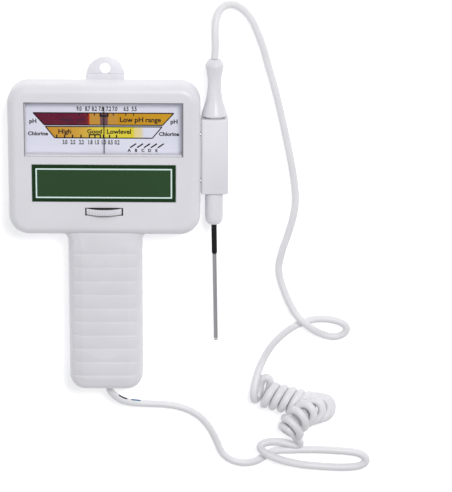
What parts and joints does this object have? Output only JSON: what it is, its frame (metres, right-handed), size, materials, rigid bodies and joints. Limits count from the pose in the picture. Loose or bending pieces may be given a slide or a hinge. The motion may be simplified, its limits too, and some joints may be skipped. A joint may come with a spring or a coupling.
{
  "type": "pool water tester",
  "caption": "Hand-held analogue pH and chlorine meter: wide head with dial window, label and thumbwheel, grooved handle, and a side probe on a curly cord.",
  "frame": {"origin": "middle of the head's back face, which the tester lies on", "axes": "+Z out of the dial, +Y towards the hanger tab along the handle, +X towards the probe holder"},
  "size_m": [0.2009, 0.2729, 0.0333],
  "materials": {
    "white_plastic": "satin moulded white, very slightly lilac",
    "cord_jacket": "smooth white PVC jacket",
    "green_label": "printed dark green plate with a pale border line",
    "window": "clear acrylic pane",
    "dial": "printed pale dial card with coloured bands",
    "inner_plastic": "plain moulded",
    "steel": "plain",
    "electrode_metal": "polished metal electrode",
    "brass": "plain",
    "copper_winding": "enamelled copper winding",
    "magnet": "sintered block",
    "black_plastic": "plain black",
    "black_sleeve": "smooth black sleeve",
    "board": "circuit board laminate",
    "trimmer": "blue moulded case",
    "resistor": "tan lacquer"
  },
  "bodies": {
    "housing": {"front_cover": "white_plastic", "rear_cover": "white_plastic", "probe_holder": "white_plastic", "cord_bush": "white_plastic", "curly_cord": "cord_jacket", "handle_lead": "cord_jacket", "inner_lead": "cord_jacket", "label_plate": "green_label", "meter_window": "window", "dial_plate": "dial", "dial_support_left": "inner_plastic", "dial_support_right": "inner_plastic", "movement_base": "inner_plastic", "axle_bracket": "inner_plastic", "board_post_1": "inner_plastic", "board_post_2": "inner_plastic", "cord_clamp": "inner_plastic", "case_screw_1": "steel", "case_screw_2": "steel", "case_screw_3": "steel", "case_screw_4": "steel", "case_screw_5": "steel", "case_screw_6": "steel", "pole_piece_left": "steel", "pole_piece_right": "steel", "iron_core": "steel", "holder_screw_1": "steel", "holder_screw_2": "steel", "upper_bridge": "brass", "magnet": "magnet", "selector_switch": "black_plastic", "circuit_board": "board", "trimmer_pot": "trimmer", "load_resistor": "resistor"},
    "movement": {"moving_coil": "copper_winding", "upper_staff": "steel", "lower_staff": "steel", "pointer": "black_plastic", "counterweight": "brass", "hairspring": "brass"},
    "wheel": {"thumbwheel": "white_plastic", "wheel_axle": "steel"},
    "probe": {"probe_cap": "white_plastic", "probe_barrel": "white_plastic", "insulating_sleeve": "black_sleeve", "inner_electrode": "electrode_metal", "electrode_tube": "electrode_metal", "probe_contact": "brass", "signal_wire": "brass", "probe_lead": "cord_jacket"}
  },
  "joints": [
    {"name": "wheel_turn", "type": "hinge", "parent": "housing", "child": "wheel", "pos_m": [0, -0.02835, 0.0183], "axis": [0, 1, 0], "range_deg": [-30, 30]},
    {"name": "needle_swing", "type": "hinge", "parent": "housing", "child": "movement", "pos_m": [0, -0.009, 0], "axis": [0, 0, 1], "range_deg": [-42, 42], "stiffness_Nm_per_rad": 0.00003},
    {"name": "probe_pull", "type": "slide", "parent": "housing", "child": "probe", "axis": [0, 1, 0], "range_m": [0, 0.13]}
  ]
}
